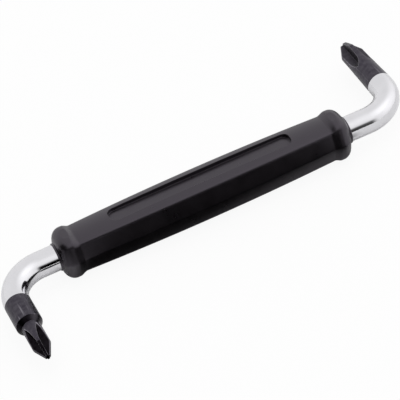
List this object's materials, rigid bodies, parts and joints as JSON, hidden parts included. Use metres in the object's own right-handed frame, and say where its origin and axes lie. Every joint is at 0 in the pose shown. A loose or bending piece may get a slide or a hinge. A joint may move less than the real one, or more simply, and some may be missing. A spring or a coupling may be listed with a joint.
{
  "type": "offset screwdriver",
  "caption": "Offset screwdriver: a chromed round bar bent into a flat Z, with a cross-recess tip on each arm and a moulded black grip around its middle.",
  "frame": {"origin": "middle of the bar's axis, halfway between its two arms and inside the grip", "axes": "+X along the grip towards the large arm, +Y along the large arm towards its tip, +Z square to the plane of the arms, out of the face with the recess"},
  "size_m": [0.1044, 0.054, 0.011],
  "materials": {
    "plated_steel": "bright chrome plating",
    "blackened_steel": "black oxide, worn bright on the edges",
    "moulded_grip": "satin moulded black plastic"
  },
  "bodies": {
    "root": {"bar": "plated_steel", "small_tip": "blackened_steel", "large_tip": "blackened_steel", "grip": "moulded_grip"}
  },
  "joints": []
}
